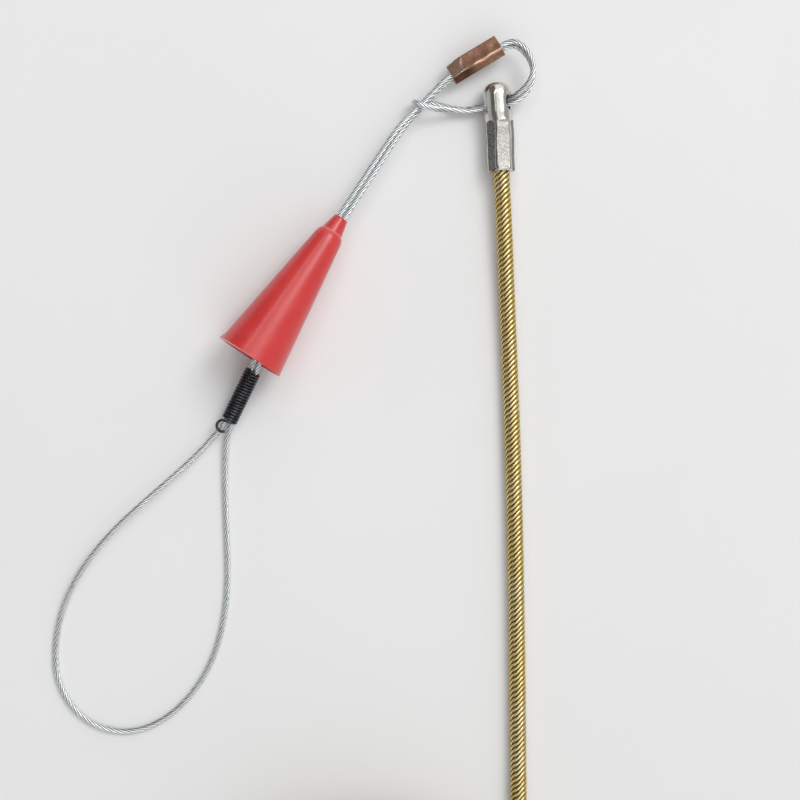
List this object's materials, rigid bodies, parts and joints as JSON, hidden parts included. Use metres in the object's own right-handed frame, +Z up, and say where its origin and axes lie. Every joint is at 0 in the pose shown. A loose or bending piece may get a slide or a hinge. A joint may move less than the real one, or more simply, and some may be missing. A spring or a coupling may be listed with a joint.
{
  "type": "drain cable with snare leader",
  "caption": "Flexible steel drain and conduit cable with a crimped eye fitting and a wire rope snare that carries a ferrule, a guide cone and a lock spring.",
  "frame": {"origin": "middle of the footprint of the fitting and its sling, on the surface that they lie on", "axes": "+Z up from that surface, +Y along the object's length, from the stored cable coil to the fitting's nose, +X from the snare's side to the cable's side"},
  "size_m": [0.1336, 0.305, 0.0195],
  "materials": {
    "nickel": "nickel plate, polished nose, sand-textured crimp flats",
    "cable_steel": "brass-coloured twisted wires, lightly tarnished",
    "rope_steel": "bright galvanised wire rope",
    "copper": "matt copper, rubbed bright on its pressed edges",
    "red_plastic": "moulded, satin",
    "spring_steel": "black oxide, oiled",
    "tie": "matt flat tie"
  },
  "bodies": {
    "shaft": {"end_fitting": "nickel", "cable_run": "cable_steel", "cable_coil": "cable_steel", "cable_tail": "cable_steel", "coil_ties": "tie", "far_end_fitting": "nickel"},
    "sling": {"rope_neck_left": "rope_steel", "rope_neck_right": "rope_steel", "rope_snare": "rope_steel", "rope_hitch": "rope_steel", "ferrule": "copper"},
    "cone": {"guide_cone": "red_plastic"},
    "spring": {"lock_spring": "spring_steel"}
  },
  "joints": [
    {"name": "sling_swing", "type": "hinge", "parent": "shaft", "child": "sling", "pos_m": [0.05637, 0.07717, 0.004], "axis": [0.9547, 0.055, 0.2924], "range_deg": [-135, 135]},
    {"name": "cone_slide", "type": "slide", "parent": "sling", "child": "cone", "axis": [0.5427, 0.838, -0.056], "range_m": [-0.0015, 0.028]},
    {"name": "spring_slide", "type": "slide", "parent": "sling", "child": "spring", "axis": [0.4454, 0.8811, 0.1591], "range_m": [0, 0.014]}
  ]
}
